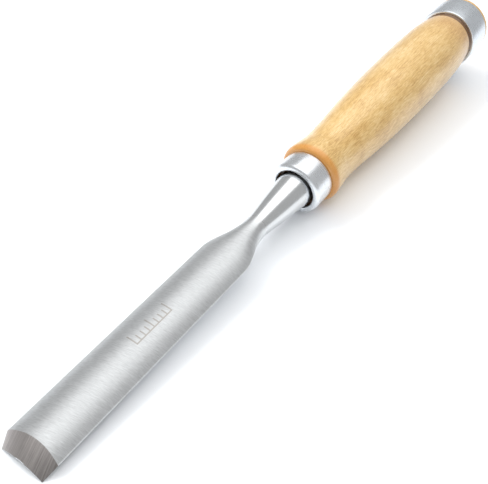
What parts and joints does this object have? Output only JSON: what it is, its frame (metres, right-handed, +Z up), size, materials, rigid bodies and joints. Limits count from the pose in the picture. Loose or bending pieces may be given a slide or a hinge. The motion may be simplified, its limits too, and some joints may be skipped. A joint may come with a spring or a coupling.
{
  "type": "firmer gouge",
  "caption": "Out-cannel firmer gouge with a straight channel blade, conical bolster, chromed ferrule, turned wooden handle and chromed striking hoop.",
  "frame": {"origin": "on the ground plane, midway between the two corners of the cutting edge, where the tool rests", "axes": "+Z up as the tool lies on a bench, hollow side down; +X from the cutting edge towards the butt; +Y to the left; the tool's own axis rises by 3.98 degrees towards the butt"},
  "size_m": [0.274, 0.0282, 0.0347],
  "materials": {
    "blade_steel": "satin",
    "ferrule_chrome": "polished",
    "handle_wood": "gloss",
    "hoop_chrome": "polished"
  },
  "bodies": {
    "root": {"blade": "blade_steel", "front_ferrule": "ferrule_chrome", "handle": "handle_wood", "striking_hoop": "hoop_chrome"}
  },
  "joints": []
}
